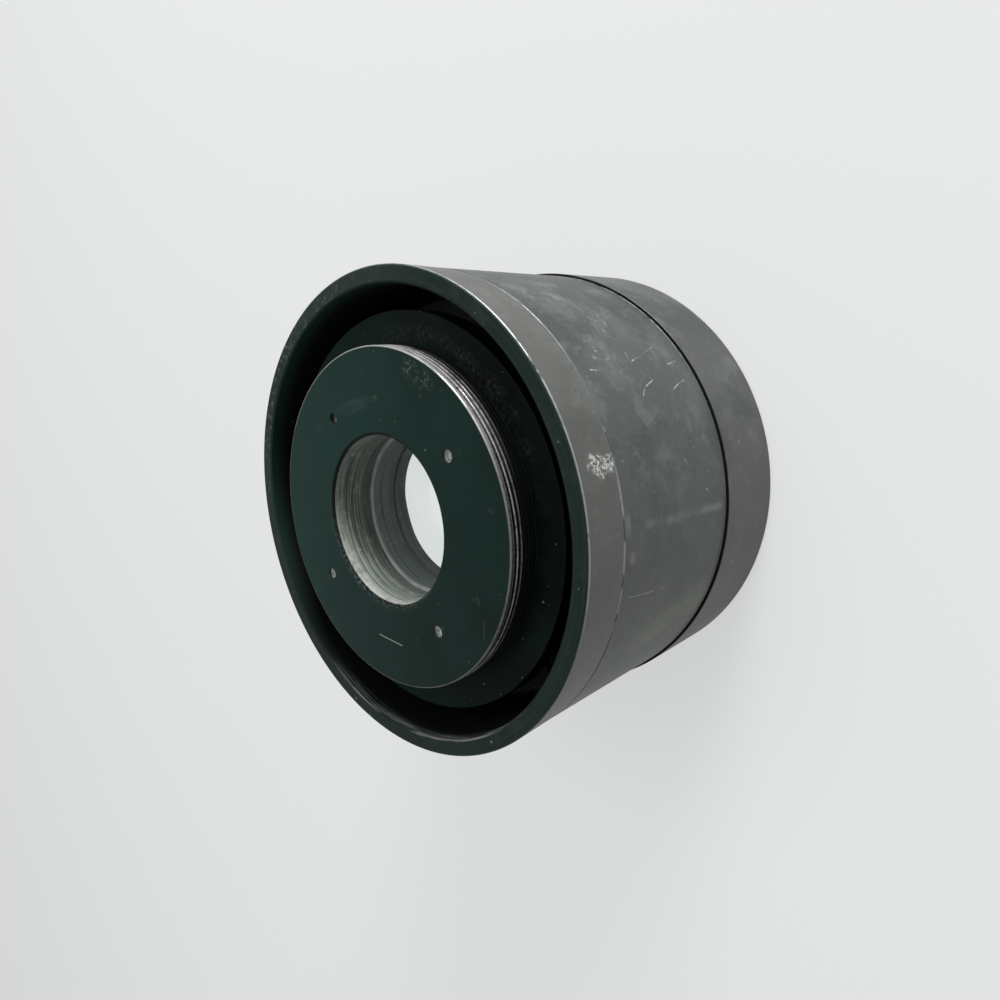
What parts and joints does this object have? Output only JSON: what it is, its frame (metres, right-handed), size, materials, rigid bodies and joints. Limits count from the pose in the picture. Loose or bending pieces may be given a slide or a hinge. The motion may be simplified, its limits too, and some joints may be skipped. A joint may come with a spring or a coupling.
{
  "type": "microscope objective",
  "caption": "Short wide microscope objective with a male mounting thread and seat inside a shroud, spanner holes round its bore, and a nose ring at the lens end.",
  "frame": {"origin": "on the optical axis in the plane of the mounting seat, at the foot of the mounting thread", "axes": "+Z along the optical axis towards the microscope; the spanner holes lie on X and Y"},
  "size_m": [0.0604, 0.0604, 0.0423],
  "materials": {
    "shell_black": "black anodised satin, worn to bare metal at the edges",
    "mount_black": "black anodised, with bare thread crests",
    "inner_black": "matt black",
    "bore_metal": "turned grey metal, dusty",
    "screw_steel": "plain steel",
    "shim_steel": "dull steel shim",
    "crown_glass": "clear polished",
    "flint_glass": "clear polished"
  },
  "bodies": {
    "root": {"outer_barrel": "shell_black", "nose_ring": "shell_black", "mount_body": "mount_black", "hub_lock_ring": "inner_black", "cell_set_screws": "screw_steel", "cell_shim": "shim_steel", "rear_cell": "bore_metal", "bore_sleeve": "bore_metal", "rear_flint_lens": "flint_glass", "rear_crown_lens": "crown_glass", "rear_retaining_ring": "inner_black", "spacer_tube": "inner_black", "aperture_stop": "inner_black", "front_cell": "inner_black", "front_crown_lens": "crown_glass", "front_flint_lens": "flint_glass", "front_retaining_ring": "inner_black", "nose_lock_ring": "inner_black"}
  },
  "joints": []
}
